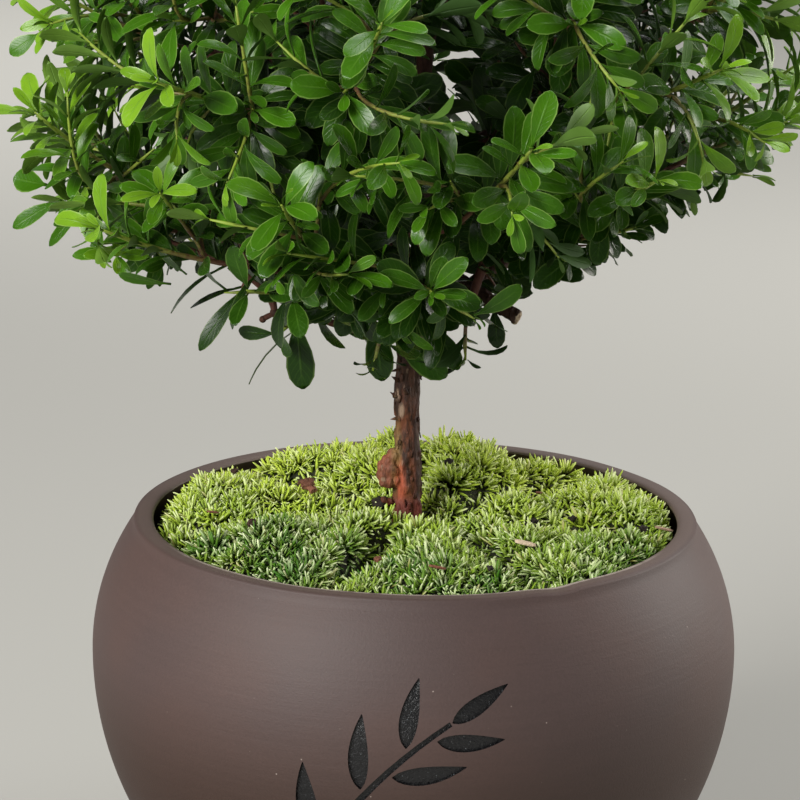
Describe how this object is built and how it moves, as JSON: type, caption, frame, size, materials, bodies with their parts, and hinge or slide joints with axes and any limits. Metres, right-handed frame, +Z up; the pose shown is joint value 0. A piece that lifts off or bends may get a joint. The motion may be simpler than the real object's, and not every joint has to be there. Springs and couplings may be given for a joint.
{
  "type": "potted bonsai tree",
  "caption": "Small evergreen bonsai with a round crown of small glossy leaves on one thin trunk, growing out of moss in a round-bellied brown clay pot.",
  "frame": {"origin": "on the surface that the pot stands on, under the centre of the pot's foot", "axes": "+Z up along the pot's axis and the trunk, -Y towards the viewer of the picture, +X to the viewer's right"},
  "size_m": [0.2365, 0.2417, 0.3386],
  "materials": {
    "clay": "matte",
    "screen": "matte",
    "soil": "matte",
    "moss": "matte",
    "bark": "matte",
    "leaf": "satin"
  },
  "bodies": {
    "root": {"drain_screen": "screen", "leafy_branch_01": "leaf", "leafy_branch_02": "leaf", "leafy_branch_03": "leaf", "leafy_branch_04": "leaf", "leafy_branch_05": "leaf", "leafy_branch_06": "leaf", "leafy_branch_07": "leaf", "leafy_branch_08": "leaf", "leafy_branch_09": "leaf", "leafy_branch_10": "leaf", "leafy_branch_11": "leaf", "leafy_branch_12": "leaf", "leafy_branch_13": "leaf", "leafy_branch_14": "leaf", "leafy_branch_15": "leaf", "leafy_branch_16": "leaf", "leafy_branch_17": "leaf", "leafy_branch_18": "leaf", "leafy_branch_19": "leaf", "leafy_branch_20": "leaf", "leafy_branch_21": "leaf", "leafy_branch_22": "leaf", "leafy_branch_23": "leaf", "leafy_branch_24": "leaf", "leafy_branch_25": "leaf", "leafy_branch_26": "leaf", "leafy_branch_27": "leaf", "leafy_branch_28": "leaf", "leafy_branch_29": "leaf", "leafy_branch_30": "leaf", "leafy_branch_31": "leaf", "leafy_branch_32": "leaf", "leafy_branch_33": "leaf", "leafy_branch_34": "leaf", "leafy_branch_35": "leaf", "leafy_branch_36": "leaf", "leafy_branch_37": "leaf", "leafy_branch_38": "leaf", "leafy_branch_39": "leaf", "leafy_branch_40": "leaf", "leafy_branch_41": "leaf", "leafy_branch_42": "leaf", "leafy_branch_43": "leaf", "leafy_branch_44": "leaf", "leafy_branch_45": "leaf", "leafy_branch_46": "leaf", "leafy_branch_47": "leaf", "moss_cushion_1": "moss", "moss_cushion_2": "moss", "moss_cushion_3": "moss", "moss_cushion_4": "moss", "moss_cushion_5": "moss", "moss_cushion_6": "moss", "moss_cushion_7": "moss", "pot": "clay", "soil": "soil", "trunk_and_limbs": "bark"}
  },
  "joints": []
}
